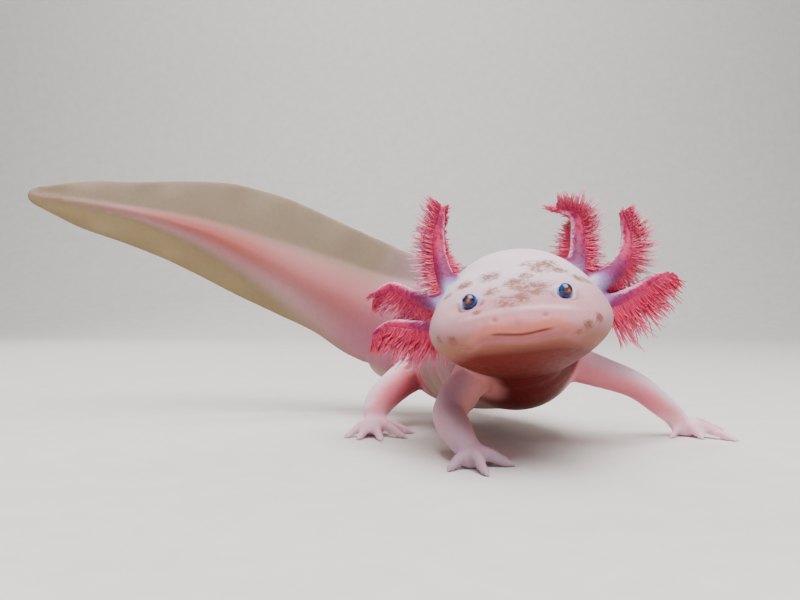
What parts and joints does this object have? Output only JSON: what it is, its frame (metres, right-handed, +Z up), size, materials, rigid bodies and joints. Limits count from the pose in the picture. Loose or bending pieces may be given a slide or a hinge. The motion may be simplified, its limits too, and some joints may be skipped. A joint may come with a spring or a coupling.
{
  "type": "axolotl",
  "caption": "Life-size still model of a pale axolotl with feathery gills, standing with its head low and its finned tail raised and swept to one side.",
  "frame": {"origin": "middle of the underside of the model's bounding box, on the floor that the feet stand on", "axes": "+Z up; the head faces -Y; +X is the side of the animal's left foreleg; the tail sweeps towards -X"},
  "size_m": [0.2236, 0.1414, 0.083],
  "materials": {
    "skin": "moist, semi-gloss, pale pink with brown freckles on the head",
    "fin": "thin, see-through grey-beige fin, semi-gloss",
    "gill": "moist red threads on lavender-pink stalks",
    "eye": "wet, glossy, dark blue with a thin shiny ring"
  },
  "bodies": {
    "root": {"dorsal_fin": "fin", "eye_left": "eye", "eye_right": "eye", "foot_left": "skin", "foot_right": "skin", "foreleg_left_lower": "skin", "foreleg_left_upper": "skin", "foreleg_right_lower": "skin", "foreleg_right_upper": "skin", "gill_left_1": "gill", "gill_left_2": "gill", "gill_left_3": "gill", "gill_right_1": "gill", "gill_right_2": "gill", "gill_right_3": "gill", "hand_left": "skin", "hand_right": "skin", "head": "skin", "hindleg_left_lower": "skin", "hindleg_left_upper": "skin", "hindleg_right_lower": "skin", "hindleg_right_upper": "skin", "lower_jaw": "skin", "neck": "skin", "tail_base": "skin", "tail_base_fin_lower": "fin", "tail_base_fin_upper": "fin", "tail_middle": "skin", "tail_middle_fin_lower": "fin", "tail_middle_fin_upper": "fin", "tail_tip": "fin", "trunk_front": "skin", "trunk_rear": "skin"}
  },
  "joints": []
}
